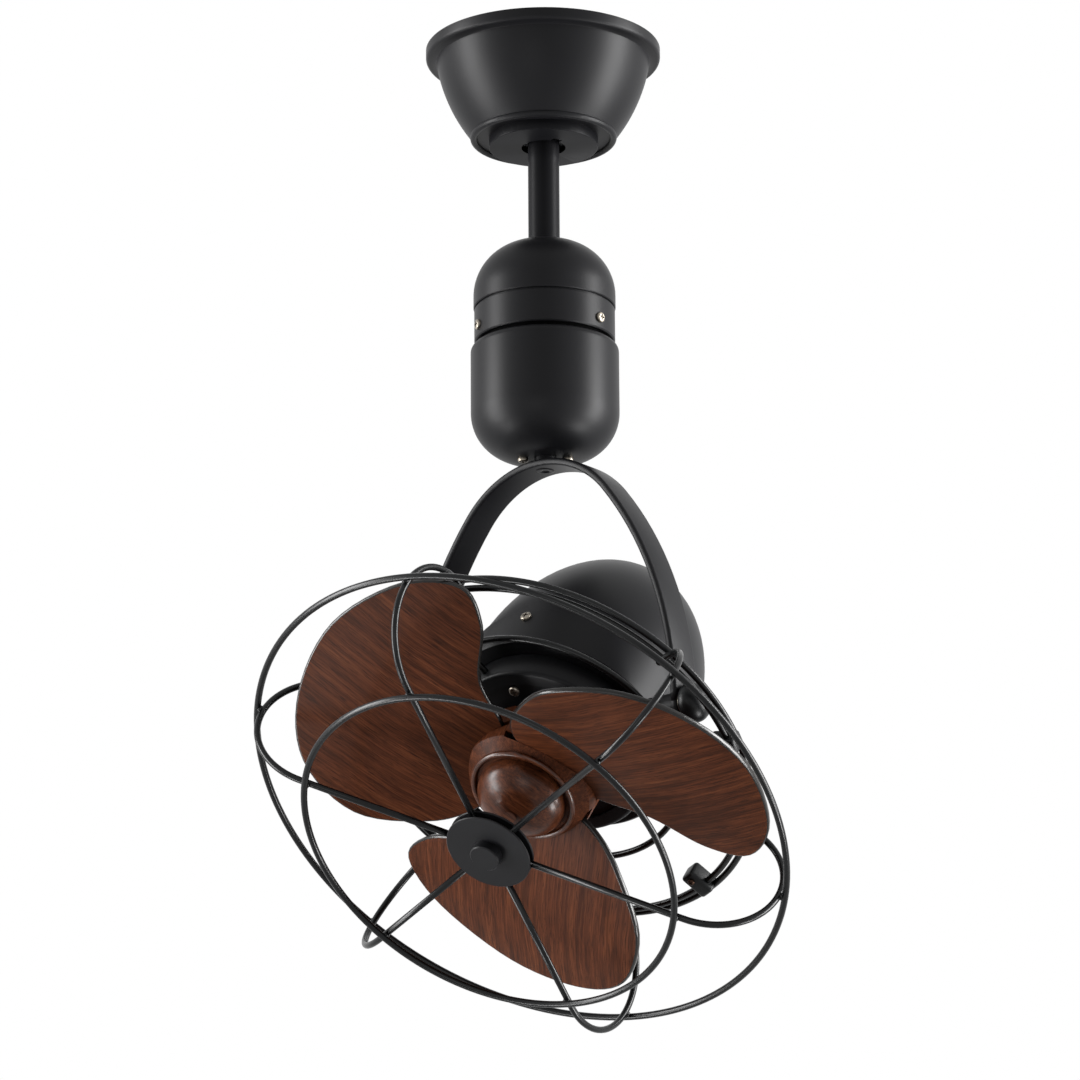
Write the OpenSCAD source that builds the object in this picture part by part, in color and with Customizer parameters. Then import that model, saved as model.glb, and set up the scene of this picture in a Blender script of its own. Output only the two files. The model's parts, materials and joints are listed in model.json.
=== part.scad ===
// A ceiling fan with one caged head. The head hangs in an arched yoke, tilts on two hand knobs and is
// panned by a gearmotor in the column. The origin is the middle of the ceiling plane, +Z is up, and
// the head faces -Y and downwards.

/* [Ceiling mount] */
// Outer radius of the canopy at the ceiling
canopy_r = 80; // [77:1:86]
// Height of the canopy
canopy_h = 66; // [62:1:74]
// Radius of the curve of the canopy's wall
canopy_wall_r = 118; // [90:2:200]
// Radius of the bead round the canopy's mouth
canopy_bead_r = 47.5; // [45:0.5:50]
// Thickness of the pressed steel covers
sheet_t = 1.6; // [1.2:0.1:2.2]
// Radius of the cover under the canopy
cover_r = 37; // [33:0.5:41]
// Depth of the cover under the canopy
cover_h = 7.2; // [7:0.1:12]
// Length of the ceiling bracket
bracket_l = 116; // [108:1:126]
// Width of the ceiling bracket
bracket_w = 40; // [38:1:46]
// Thickness of the bracket's steel
bracket_t = 2.5; // [2:0.25:3.5]
// Distance between the two ceiling slots
slot_spacing = 88.9; // [84:0.1:92]
// Half width of a ceiling slot
slot_r = 2.75; // [2.25:0.25:3.5]
// Length of a ceiling slot from end to end
slot_l = 12; // [8:0.5:14]
// Radius of the hanger ball
ball_r = 21; // [20.5:0.5:23]
// Radius of the hole that the ball sits in
ball_seat_r = 17; // [15:0.5:17.5]

/* [Column] */
// Outer radius of the downrod
rod_r = 10.65; // [9.5:0.05:12]
// Wall of the downrod
rod_wall = 2.6; // [2:0.1:3.2]
// Drop from the ceiling to the top of the column
rod_drop = 141; // [120:1:400]
// Radius of the column's upper cap
cap_r = 48; // [47:0.5:52]
// Height of the upper cap
cap_h = 46; // [43:1:56]
// Corner radius of the upper cap
cap_round = 37; // [28:1:37]
// Height of the band with the three screws
band_h = 24; // [20:1:30]
// Running gap between the fixed band and the turning shell
pan_gap = 2.5; // [1.5:0.25:4]
// Radius of the turning shell
shell_r = 50; // [48:0.5:54]
// Height of the turning shell
shell_h = 79.5; // [78:0.5:90]
// Corner radius at the bottom of the turning shell
shell_round = 32; // [26:1:32]
// Radius of the pan spindle
spindle_r = 8; // [7:0.25:8.5]
// Distance from the pan axis to the gearmotor's axis
gear_centre = 28; // [28:0.1:28.6]
// Teeth on the pan gear
gear_teeth = 40; // [36:1:40]
// Teeth on the pinion
pinion_teeth = 16; // [14:1:16]
// Thickness of the pan gear
gear_t = 6; // [4:0.5:8]

/* [Yoke] */
// Length of the neck between the shell and the yoke
neck_h = 3.5; // [3:0.5:8]
// Radius of the neck
neck_r = 7.5; // [6:0.5:9]
// Gap between a knob's end and the outer ring of the rear guard
knob_gap = 8.25; // [5:0.25:12]
// Height of the yoke above the tilt axis, to the middle of its bar
yoke_b = 186; // [180:1:200]
// Radius of the yoke's top bend
yoke_top_r = 75; // [66:1:80]
// Width of the yoke's bar
yoke_w = 24; // [20:1:26]
// Thickness of the yoke's bar
yoke_t = 5; // [4:0.5:6]
// Radius of a tilt knob
knob_r = 13.5; // [11:0.5:14]
// Length of a tilt knob
knob_l = 14; // [11:0.5:14]
// Radius of a knob's stud
stud_r = 4; // [3:0.25:5]

/* [Head] */
// Angle of the fan axis below the horizontal
tilt_angle = 52; // [20:1:80]
// Distance of the fan axis below the tilt axis
axis_drop = 8; // [4:0.5:10]
// Radius of the housing's front part
front_r = 68; // [66:0.5:72]
// Radius of the black front plate
plate_r = 57; // [54:0.5:60]
// Radius of the housing band
band_r = 80; // [78:0.5:84]
// Radius of the rear cover where it meets the band
dome_r = 78; // [76:0.5:79]
// Depth of the rear cover behind the band
dome_depth = 122; // [112:1:128]
// Distance of the housing's front face in front of the tilt axis
face_s = 9; // [8:0.5:12]
// Length of the housing band
housing_band_l = 31; // [26:1:36]
// Radius of the motor shaft
shaft_r = 5; // [4:0.25:6]
// Outer radius of the stator
stator_r = 62; // [58:0.5:63]
// Bore radius of the stator
stator_bore = 30; // [26:0.5:34]

/* [Fan] */
// Radius that the blade tips sweep
blade_tip_r = 169; // [150:1:172]
// Thickness of a blade
blade_t = 4; // [3:0.25:5]
// Pitch of a blade
blade_pitch = 15; // [10:0.5:17]
// Radius of the bend in a blade
blade_bend_r = 327; // [300:1:500]
// Height of the blades' crown in front of the tilt axis
blade_s = 52; // [50:0.5:54]
// Radius of the walnut hub
hub_r = 45; // [43:0.5:47]
// Radius of the bead round the hub's front
hub_lip_r = 35; // [33:0.5:36]
// Radius of the hub's domed nose
nose_r = 30.1; // [28:0.1:31]
// Height of the domed nose
nose_h = 23.5; // [20:0.5:28]

/* [Cage] */
// Diameter of the cage wire
wire_d = 4.5; // [3.5:0.25:5]
// Distance between the blade tips and the outer ring
cage_gap = 19; // [19:0.5:26]
// Distance of the outer ring in front of the tilt axis
cage_s = 59.6; // [58:0.2:64]
// Bend radius of a spoke
spoke_bend = 47.6; // [46:0.2:50]
// Number of spokes
spokes = 6; // [6:2:12]
// Radius of the front ring
front_ring_r = 130.5; // [110:0.5:132]
// Gap between the inner ring of the rear guard and a yoke leg
leg_gap = 16.45; // [12:0.05:20]
// Radius of the two discs in the cage's centre
disc_r = 29.5; // [28:0.5:34]
// Thickness of a centre disc
disc_t = 1.5; // [1.2:0.1:2]

/* [Hidden] */
$fn = 96;

black = "#1b1d1f";
steel = "#8d9094";
nickel = "#b9b4a8";
walnut = "#4a2618";
copper = "#a8632f";

// Clearances
fit_gap = 0.1;
run_gap = 0.05;
move_gap = 0.3;

// Canopy and ceiling bracket
bead_r = 2.4;
rim_h = 8;
rim_round = 2.5;
cup_t = 1.2;
floor_z = bead_r - canopy_h;
bracket_h = -floor_z - sheet_t;
bracket_web_x = 32;
wire_hole_r = rod_r + 4;
seat_edge_z = bracket_t - bracket_h;
ball_z = seat_edge_z + sqrt(pow(ball_r, 2) - pow(ball_seat_r, 2)) + fit_gap;
ball_bore_r = rod_r + fit_gap;
canopy_screw_x = 25;
canopy_screw_r = 2;
canopy_screw_l = 9;
cover_hole_r = 15;
pin_r = 3;

// Column, from the top down
cap_z = -rod_drop;
band_z = cap_z - cap_h;
chassis_t = 3;
band_wall = 2;
band_groove = 1.3;
band_out_r = cap_r - 0.5;
band_in_r = band_out_r - band_wall;
skirt_r = band_in_r - fit_gap;
spigot_l = 6;
collar_r = 17;
collar_flange_r = 30;
collar_flange_t = 3;
chassis_top_z = band_z - 3;
chassis_low_z = chassis_top_z - chassis_t;
band_low_z = band_z - band_h;
band_screw_z = band_low_z + 7.5;
shell_z = band_low_z - pan_gap;
shell_low_z = shell_z - shell_h;
shell_wall = 2;
shell_floor_z = shell_low_z + shell_wall;
shoulder = 5;
shell_mouth_r = band_out_r - 1.5;

// Pan drive
gear_module = gear_centre * 2 / (gear_teeth + pinion_teeth);
gear_drop = 11.5;
gear_top_z = shell_z - gear_drop;
gear_low_z = gear_top_z - gear_t;
bush_wall = 3;
bush_l = 6;
bush_r = spindle_r + run_gap + bush_wall;
carrier_r = bush_r + fit_gap + 3;
gear_rest_t = 3;
carrier_top_z = gear_top_z + 3;
carrier_l = 30;
carrier_web_z = carrier_top_z - carrier_l;
web_t = 2;
carrier_low_r = shell_r - shell_round;
carrier_bore_r = carrier_low_r - 3.5;
nut_z = carrier_web_z - web_t - move_gap;
nut_h = 8;
spindle_low_z = nut_z - nut_h - 2;
spindle_wall = 3;
spindle_flange_t = 3;
flange_t = 6;
motor_r = 13.5;
motor_low_z = gear_top_z + 8;
motor_gap = 1;
pinion_shaft_r = 2.5;
flange_screw_r = 15;
flange_screw_angle = 39;

// Screws
screw_r = 2;
screw_head_r = 3.6;
band_screw_l = 5;

// Rings of the cage and of the rear guard
wire_r = wire_d / 2;
cage_r = blade_tip_r + cage_gap;
spoke_run = cage_r - wire_d - spoke_bend;
rear_ring_out = 1.6;
rear_ring_r = spoke_run + rear_ring_out;
guard_r = rear_ring_r + 5.5;

// Yoke
yoke_top_z = shell_low_z - neck_h;
pivot_z = yoke_top_z - yoke_t / 2 - yoke_b;
washer_t = 1.2;
yoke_a = guard_r - wire_r - knob_gap - knob_l - move_gap - washer_t - yoke_t / 2;
yoke_side_r = (pow(yoke_a, 2) + pow(yoke_b, 2) - 2 * yoke_b * yoke_top_r) / (2 * (yoke_a - yoke_top_r));
yoke_join = atan((yoke_b - yoke_top_r) / (yoke_side_r - yoke_a));
leg_in_x = yoke_a - yoke_t / 2;
leg_out_x = yoke_a + yoke_t / 2;
knob_x = leg_out_x + washer_t + move_gap;
bolt_r = 4;
bolt_head_r = 7;
bolt_head_h = 2.8;
boss_r = 9;
boss_end_x = leg_in_x - move_gap;
stud_in = 12;
guard_ring_r = leg_in_x - leg_gap - wire_r;

// Housing and motor, as distances s along the fan axis in front of the tilt axis
band_front_s = -boss_r - 1;
band_back_s = band_front_s - housing_band_l;
front_wall = 3;
housing_back_s = band_back_s - 4;
ledge_s = face_s - 4;
plate_t = 2.5;
ledge_t = 2.5;
plate_front_s = ledge_s + plate_t;
rim_in_r = plate_r + 0.6;
lip_wall = 2.6;
bearing_r = 13;
bearing_l = 8;
front_bearing_s = ledge_s - bearing_l;
bell_t = 3;
bell_s = housing_back_s - bell_t;
rear_bearing_s = bell_s - bearing_l;
stator_back_s = bell_s + bell_t + 9;
stator_front_s = ledge_s - 12;
plate_screw_r = plate_r - 5;
ledge_in_r = plate_screw_r - 5;
plate_screw_angle = 85;
housing_screw_s = band_back_s + 6.5;
housing_screw_angle = 82;
boss_start_x = sqrt(pow(front_r, 2) - pow(axis_drop, 2));

// Hub and blades
hub_back_s = 12;
lip_tube_r = 2;
lip_s = 52.5;
web_front_s = lip_s - 1;
hub_web_t = 2;
nose_base_h = 3.5;
hub_wall = 4;
carrier_disc_t = 4;
carrier_disc_s = hub_back_s + 2;
carrier_boss_r = 13;
blade_phi = 118.5;
blade_crown_r = 115;
slot_from = -42;
slot_to = 80;
blades = 3;
nut_flat_r = 8;
hub_nut_h = 5;
shaft_end_s = web_front_s + hub_nut_h + 1;
blade_screw_places = [[31, -8], [29, 11]];
// Corners of a blade's outline as radius and offset towards its leading side, at a tip radius of 169
blade_outline = [[36, -27], [68, -50], [89, -86], [116, -102], [148, -76], [168, -18], [158, 40],
    [128, 80], [80, 91], [37, 68], [18, 45], [15, 27], [24, 0]];
outline_tip_r = 169;

// Cage
spoke_s = cage_s + spoke_bend;
spoke_end_s = cage_s - spoke_bend;
spoke_start_r = disc_r - 3.5;
spoke_angle = 22;
rear_ring_s = spoke_end_s - sqrt(pow(wire_d, 2) - pow(rear_ring_out, 2));
guard_s = rear_ring_s - 2.8;
arm_s = guard_s - wire_d;
arm_angle = 102;
clip_angles = [112, 166, 235, 291, 350];
clip_w = 12;
clip_l = 20;
clip_h = 13;
clip_round = 2.5;
clip_mid_r = guard_r + 1 - clip_l / 2;
clip_mid_s = (rear_ring_s + guard_s) / 2;
clip_screw_r = rear_ring_r - 8;
nub_r = 10.2;
nub_h = 6.6;
disc_bolt_r = 3;

// Points of an arc round [cx, cy]
function arc(cx, cy, r, from, to, steps = 18) =
    [for (i = [0:steps]) let (a = from + (to - from) * i / steps) [cx + r * cos(a), cy + r * sin(a)]];

// One point of a smooth curve between b and c
function smooth_point(a, b, c, d, t) = 0.5 * (2 * b + (c - a) * t + (2 * a - 5 * b + 4 * c - d) * t * t
    + (3 * b - a - 3 * c + d) * t * t * t);

// A closed smooth curve through a list of points
function smooth_loop(p, steps = 6) = let (n = len(p)) [for (i = [0:n - 1], j = [0:steps - 1])
    smooth_point(p[(i + n - 1) % n], p[i], p[(i + 1) % n], p[(i + 2) % n], j / steps)];

// Angle in degrees that an involute has turned at radius r, from its base circle
function involute(r, base) = let (t = sqrt(max(0, pow(r / base, 2) - 1))) t * 180 / PI - atan(t);

// Outline of a spur gear with involute flanks
function gear_outline(teeth, module_mm, backlash) = let (
        pitch = teeth * module_mm / 2,
        base = pitch * cos(20),
        tip = pitch + 0.9 * module_mm,
        root = pitch - 1.25 * module_mm,
        half = 90 / teeth - backlash / pitch * 90 / PI + involute(pitch, base),
        low = max(base, root),
        flank = [for (i = [0:4]) low + (tip - low) * i / 4]
    ) [for (k = [0:teeth - 1]) let (c = k * 360 / teeth) each concat(
        [root * [cos(c - half), sin(c - half)]],
        [for (r = flank) let (a = c - half + involute(r, base)) r * [cos(a), sin(a)]],
        [for (i = [4:-1:0]) let (r = flank[i], a = c + half - involute(r, base)) r * [cos(a), sin(a)]],
        [root * [cos(c + half), sin(c + half)]])];

module tube(out_r, in_r, h) {
    difference() {
        cylinder(r = out_r, h = h);
        translate([0, 0, -1]) cylinder(r = in_r, h = h + 2);
    }
}

module torus(ring_r, tube_r) {
    rotate_extrude() translate([ring_r, 0]) circle(r = tube_r, $fn = 48);
}

module rounded_rect(w, h, r) {
    square([w - 2 * r, h], center = true);
    square([w, h - 2 * r], center = true);
    for (x = [-1, 1], y = [-1, 1]) translate([x * (w / 2 - r), y * (h / 2 - r)]) circle(r = r, $fn = 32);
}

// A pan-head screw that stands on the plane z = 0 with its shank below
module pan_screw(head_r, head_h, shank_r, shank_l) {
    difference() {
        union() {
            rotate_extrude() polygon(concat([[0, 0]],
                arc(head_r - head_h * 0.6, head_h * 0.4, head_h * 0.6, 0, 90, 6), [[0, head_h]], [[0, 0]]));
            cylinder(r = head_r, h = head_h * 0.4);
            translate([0, 0, -shank_l]) cylinder(r = shank_r, h = shank_l + 0.1);
        }
        for (a = [0, 90]) rotate(a) translate([-head_r * 0.6, -head_r * 0.14, head_h * 0.4])
            cube([head_r * 1.2, head_r * 0.28, head_h]);
    }
}

// The head's own frame: +Z along the fan axis towards the nose, +X along the tilt axis
module head() {
    translate([0, 0, pivot_z]) rotate([90 + tilt_angle, 0, 0]) children();
}

// A place on the fan axis, at distance s in front of the tilt axis
module fan(s = 0) {
    head() translate([0, -axis_drop, s]) children();
}

// Repeats its children round the Z axis
module around(count, start = 0) {
    for (k = [0:count - 1]) rotate(start + k * 360 / count) children();
}

module ceiling_bracket() {
    half_w = bracket_w / 2;
    color(steel) difference() {
        union() {
            translate([-bracket_l / 2, -half_w, -bracket_t]) cube([bracket_l, bracket_w, bracket_t]);
            for (x = [-bracket_web_x, bracket_web_x - bracket_t])
                translate([x, -half_w, -bracket_h]) cube([bracket_t, bracket_w, bracket_h - bracket_t / 2]);
            translate([-bracket_web_x, -half_w, -bracket_h]) cube([2 * bracket_web_x, bracket_w, bracket_t]);
        }
        for (side = [-1, 1]) {
            slot_run = slot_l / 2 - slot_r;
            for (x = [-slot_run, slot_run])
                translate([side * slot_spacing / 2 + x, 0, -bracket_t - 1])
                    cylinder(r = slot_r, h = bracket_t + 2);
            translate([side * slot_spacing / 2 - slot_run, -slot_r, -bracket_t - 1])
                cube([2 * slot_run, 2 * slot_r, bracket_t + 2]);
            translate([side * canopy_screw_x, 0, -bracket_h - 1])
                cylinder(r = canopy_screw_r + fit_gap, h = bracket_t + 2);
        }
        translate([0, 0, -bracket_t - 1]) cylinder(r = wire_hole_r, h = bracket_t + 2);
        translate([0, 0, -bracket_h - 1]) cylinder(r = ball_seat_r, h = bracket_t + 2);
    }
}

module canopy() {
    mouth_z = bead_r - canopy_h;
    wall_top = [canopy_r - 7.2, -rim_h - 1.2];
    wall_low = [canopy_bead_r + 2.9, mouth_z + 2.6];
    chord = wall_low - wall_top;
    half = norm(chord) / 2;
    lean = atan2(chord[1], chord[0]) + 90;
    sweep = asin(half / canopy_wall_r);
    centre = (wall_top + wall_low) / 2 - canopy_wall_r * cos(sweep) * [cos(lean), sin(lean)];
    outer = concat([[canopy_r, 0]], arc(canopy_r - rim_round, rim_round - rim_h, rim_round, 0, -90, 6),
        [[canopy_r - 6, -rim_h - 0.3]],
        arc(centre[0], centre[1], canopy_wall_r, lean + sweep, lean - sweep, 14),
        [[canopy_bead_r + 1.5, mouth_z + 0.8]]);
    inner = [for (i = [len(outer) - 1:-1:0]) [outer[i][0] - sheet_t, min(0, outer[i][1] + sheet_t * 0.75)]];
    color(black) difference() {
        union() {
            rotate_extrude() polygon(concat(outer, inner));
            translate([0, 0, mouth_z]) torus(canopy_bead_r, bead_r);
            translate([0, 0, floor_z]) tube(canopy_bead_r - 0.4, ball_seat_r + 2, sheet_t);
        }
        for (x = [-canopy_screw_x, canopy_screw_x])
            translate([x, 0, floor_z - 1]) cylinder(r = canopy_screw_r + fit_gap, h = sheet_t + 2);
    }
}

module canopy_screws() {
    color(nickel) for (x = [-canopy_screw_x, canopy_screw_x])
        translate([x, 0, floor_z]) rotate([180, 0, 0])
            pan_screw(screw_head_r, 2.4, canopy_screw_r, canopy_screw_l);
}

module canopy_cover() {
    top_z = floor_z - cover_h;
    color(black) difference() {
        union() {
            translate([0, 0, top_z + cup_t / 2]) tube(cover_r, cover_r - cup_t, cover_h - cup_t / 2);
            translate([0, 0, top_z]) rotate_extrude() difference() {
                union() {
                    translate([0, 0]) square([cover_r - 0.6, cup_t]);
                    translate([0, 0.6]) square([cover_r, cup_t - 0.6]);
                    translate([cover_r - 0.6, 0.6]) circle(r = 0.6, $fn = 24);
                }
                translate([-1, -1]) square([cover_hole_r + 1, cup_t + 2]);
            }
        }
        rotate(-20) translate([cover_hole_r - 2, -3.5, top_z - 1]) cube([6, 7, cup_t + 2]);
    }
}

module hanger_ball() {
    color(steel) difference() {
        translate([0, 0, ball_z]) sphere(r = ball_r);
        translate([0, 0, ball_z - ball_r - 1]) cylinder(r = ball_bore_r, h = 2 * ball_r + 2);
        translate([0, 0, ball_z]) rotate([90, 0, 0])
            cylinder(r = pin_r + fit_gap, h = 2 * ball_r + 2, center = true);
    }
}

rod_top_z = ball_z + 14;
rod_low_z = cap_z - 30;
pin_places = [[ball_z, ball_r - 2], [cap_z - 20, collar_r + 1.5]];

module downrod() {
    color(black) difference() {
        translate([0, 0, rod_low_z]) tube(rod_r, rod_r - rod_wall, rod_top_z - rod_low_z);
        for (p = pin_places) translate([0, 0, p[0]]) rotate([90, 0, 0])
            cylinder(r = pin_r + fit_gap, h = 3 * rod_r, center = true);
    }
}

module cross_pins() {
    color(nickel) for (p = pin_places) translate([0, 0, p[0]]) rotate([90, 0, 0])
        cylinder(r = pin_r, h = 2 * p[1], center = true);
}

module rod_collar() {
    color(steel) difference() {
        union() {
            translate([0, 0, chassis_top_z]) cylinder(r = collar_r, h = cap_z - 9 - chassis_top_z);
            translate([0, 0, chassis_top_z]) cylinder(r = collar_flange_r, h = collar_flange_t);
        }
        translate([0, 0, chassis_top_z - 1]) cylinder(r = rod_r + fit_gap, h = cap_z - chassis_top_z + 2);
        translate([0, 0, pin_places[1][0]]) rotate([90, 0, 0])
            cylinder(r = pin_r + fit_gap, h = 3 * collar_r, center = true);
    }
}

module upper_cap() {
    hole_r = rod_r + 0.5;
    corner_z = cap_z - cap_round;
    start = acos((hole_r - cap_r + cap_round) / cap_round);
    wall = band_wall;
    start_in = acos((hole_r - cap_r + cap_round) / (cap_round - wall));
    color(black) rotate_extrude() polygon(concat(
        [[cap_r - 0.6, band_z], [cap_r, band_z + 0.6]],
        arc(cap_r - cap_round, corner_z, cap_round, 0, start, 24),
        arc(cap_r - cap_round, corner_z, cap_round - wall, start_in, 0, 24),
        [[cap_r - wall, band_z + spigot_l], [skirt_r - wall, band_z + spigot_l - 1],
        [skirt_r - wall, chassis_top_z + move_gap], [skirt_r, chassis_top_z + move_gap], [skirt_r, band_z]]));
}

module mid_band() {
    groove_low = band_h - band_groove;
    color(black) difference() {
        translate([0, 0, band_low_z]) rotate_extrude() polygon([[band_in_r, 0], [band_out_r - 0.8, 0],
            [band_out_r, 0.8], [band_out_r, groove_low - 0.4], [band_out_r - 0.4, groove_low],
            [band_out_r - band_groove, groove_low], [band_out_r - band_groove, band_h], [band_in_r, band_h]]);
        around(3) translate([0, 0, band_screw_z]) rotate([0, 90, 0])
            cylinder(r = screw_r + fit_gap, h = 2 * cap_r);
    }
}

module band_screws() {
    color(nickel) around(3) translate([band_out_r, 0, band_screw_z]) rotate([0, 90, 0])
        pan_screw(screw_head_r, 2.2, screw_r, band_screw_l);
}

module chassis_plate() {
    color(steel) difference() {
        union() {
            translate([0, 0, chassis_low_z]) cylinder(r = skirt_r, h = chassis_t);
            translate([0, 0, band_low_z + 2]) tube(skirt_r, skirt_r - 2, chassis_low_z - band_low_z - 1);
        }
        translate([0, 0, chassis_low_z - 1]) cylinder(r = spindle_r - spindle_wall, h = chassis_t + 2);
        around(3) translate([0, 0, band_screw_z]) rotate([0, 90, 0]) cylinder(r = screw_r + fit_gap, h = cap_r);
    }
}

module gearmotor() {
    color(steel) translate([gear_centre, 0, motor_low_z]) difference() {
        union() {
            cylinder(r = motor_r, h = chassis_low_z - motor_low_z);
            translate([0, 0, -3]) cylinder(r = 6, h = 4);
        }
        translate([0, 0, -4]) cylinder(r = pinion_shaft_r + run_gap, h = 12);
    }
}

module pan_pinion() {
    bottom = gear_low_z;
    color(nickel) translate([gear_centre, 0, bottom]) {
        rotate(180 + (pinion_teeth % 2 == 0 ? 180 / pinion_teeth : 0))
            linear_extrude(gear_t) polygon(gear_outline(pinion_teeth, gear_module, 0.15));
        cylinder(r = pinion_shaft_r, h = motor_low_z + 6 - bottom);
    }
}

module spindle() {
    color(steel) difference() {
        union() {
            translate([0, 0, spindle_low_z]) cylinder(r = spindle_r, h = chassis_low_z - spindle_low_z);
            translate([0, 0, chassis_low_z - spindle_flange_t])
                cylinder(r = gear_centre - motor_r - motor_gap, h = spindle_flange_t);
        }
        translate([0, 0, spindle_low_z - 1])
            cylinder(r = spindle_r - spindle_wall, h = chassis_low_z - spindle_low_z + 2);
    }
}

module spindle_nut() {
    color(nickel) translate([0, 0, nut_z - nut_h]) difference() {
        union() {
            cylinder(r = carrier_bore_r - 2, h = nut_h, $fn = 6);
            translate([0, 0, nut_h - 1.5]) cylinder(r = carrier_bore_r - 1.5, h = 1.5);
        }
        translate([0, 0, -1]) cylinder(r = spindle_r + fit_gap, h = nut_h + 2);
    }
}

module lower_shell() {
    low = shell_round;
    color(black) difference() {
        rotate_extrude() polygon(concat(
            [[shell_mouth_r, shell_z]], arc(shell_r - shoulder, shell_z - shoulder, shoulder, 62, 0, 10),
            arc(shell_r - low, shell_low_z + low, low, 0, -90, 24),
            [[0, shell_low_z], [0, shell_floor_z]],
            arc(shell_r - low, shell_low_z + low, low - shell_wall, -90, 0, 24),
            arc(shell_r - shoulder, shell_z - shoulder, shoulder - shell_wall, 0, 50, 8),
            [[shell_mouth_r, shell_z - 2.2]]));
        translate([0, 0, shell_low_z - 1]) cylinder(r = bolt_r + fit_gap, h = shell_wall + 2);
        around(2, flange_screw_angle) translate([flange_screw_r, 0, shell_low_z - 1])
            cylinder(r = screw_r + fit_gap, h = shell_wall + 2);
    }
}

module pan_carrier() {
    top_h = carrier_top_z - carrier_web_z;
    color(steel) difference() {
        union() {
            translate([0, 0, carrier_web_z - 0.1]) cylinder(r = carrier_r, h = top_h + 0.1);
            translate([0, 0, shell_floor_z]) cylinder(r = carrier_low_r, h = carrier_web_z - shell_floor_z);
            translate([0, 0, gear_low_z - gear_rest_t]) cylinder(r = carrier_r + 3, h = gear_rest_t);
        }
        translate([0, 0, carrier_web_z]) cylinder(r = bush_r + fit_gap, h = top_h + 1);
        translate([0, 0, carrier_web_z - web_t - 1]) cylinder(r = spindle_r + 0.6, h = web_t + 2);
        translate([0, 0, shell_floor_z + flange_t])
            cylinder(r = carrier_bore_r, h = carrier_web_z - web_t - shell_floor_z - flange_t);
        translate([0, 0, shell_floor_z - 1]) cylinder(r = bolt_r + fit_gap, h = flange_t + 2);
        around(2, flange_screw_angle) translate([flange_screw_r, 0, shell_floor_z - 1])
            cylinder(r = screw_r + fit_gap, h = flange_t);
    }
}

module pan_bushes() {
    color(copper) for (z = [carrier_top_z - bush_l, carrier_web_z])
        translate([0, 0, z]) tube(bush_r, spindle_r + run_gap, bush_l);
}

module pan_gear() {
    color(nickel) translate([0, 0, gear_low_z]) difference() {
        linear_extrude(gear_t) polygon(gear_outline(gear_teeth, gear_module, 0.15));
        translate([0, 0, -1]) cylinder(r = carrier_r + fit_gap, h = gear_t + 2);
    }
}

module flange_screws() {
    color(nickel) around(2, flange_screw_angle) translate([flange_screw_r, 0, shell_low_z]) rotate([180, 0, 0])
        pan_screw(screw_head_r, 2.4, screw_r, shell_wall + flange_t - 1.5);
}

module yoke_neck() {
    color(black) translate([0, 0, yoke_top_z]) tube(neck_r, bolt_r + fit_gap, neck_h);
}

// One side of the yoke's bar, out from the middle of the bar by a distance, from the right leg over the top
function yoke_line(out) = concat(
    arc(yoke_a - yoke_side_r, 0, yoke_side_r + out, 0, yoke_join, 16),
    arc(0, yoke_b - yoke_top_r, yoke_top_r + out, yoke_join + 2, 178 - yoke_join, 30),
    arc(yoke_side_r - yoke_a, 0, yoke_side_r + out, 180 - yoke_join, 180, 16));

module yoke() {
    inner = yoke_line(-yoke_t / 2);
    color(black) difference() {
        union() {
            translate([0, yoke_w / 2, pivot_z]) rotate([90, 0, 0]) linear_extrude(yoke_w)
                polygon(concat(yoke_line(yoke_t / 2), [for (i = [len(inner) - 1:-1:0]) inner[i]]));
            for (x = [-leg_out_x, leg_in_x])
                translate([x, 0, pivot_z]) rotate([0, 90, 0]) cylinder(r = yoke_w / 2, h = yoke_t);
        }
        for (x = [-leg_out_x - 1, leg_in_x - 1])
            translate([x, 0, pivot_z]) rotate([0, 90, 0]) cylinder(r = stud_r + move_gap, h = yoke_t + 2);
        translate([0, 0, yoke_top_z - 2 * yoke_t]) cylinder(r = bolt_r + fit_gap, h = 3 * yoke_t);
        translate([0, 0, yoke_top_z - yoke_t]) bolt_cone(fit_gap);
    }
}

// The bolt's countersunk head, or its seat where grown by a gap, with its face on z = 0
module bolt_cone(grown) {
    translate([0, 0, -1]) cylinder(r = bolt_head_r + grown, h = 1);
    cylinder(r1 = bolt_head_r + grown, r2 = bolt_r + grown, h = bolt_head_h);
}

module yoke_bolt() {
    head_z = yoke_top_z - yoke_t;
    color(nickel) translate([0, 0, head_z]) difference() {
        union() {
            intersection() {
                bolt_cone(0);
                cylinder(r = bolt_head_r, h = bolt_head_h);
            }
            cylinder(r = bolt_r, h = shell_floor_z + flange_t + 2 - head_z);
        }
        translate([0, 0, -1]) cylinder(r = 2.5, h = bolt_head_h, $fn = 6);
    }
}

module leg_washers() {
    color(nickel) for (side = [0, 180]) rotate(side) translate([leg_out_x, 0, pivot_z]) rotate([0, 90, 0])
        tube(knob_r - 3, stud_r + move_gap, washer_t);
}

// A clamping knob with its stud, on the +X side
module knob() {
    flutes = 12;
    stud_l = knob_x - boss_end_x + stud_in;
    color(black) translate([knob_x, 0, pivot_z]) rotate([0, 90, 0]) {
        difference() {
            rotate_extrude() polygon(concat([[0, 0], [knob_r - 1, 0], [knob_r, 1]],
                arc(knob_r - 3, knob_l - 3, 3, 0, 90, 8), [[0, knob_l]]));
            around(flutes) translate([knob_r + 0.9, 0, -1]) cylinder(r = 1.6, h = knob_l - 2, $fn = 24);
        }
        translate([0, 0, -stud_l]) cylinder(r = stud_r, h = stud_l + 0.1);
    }
}

module knob_right() {
    knob();
}

module knob_left() {
    mirror([1, 0, 0]) knob();
}

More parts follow.
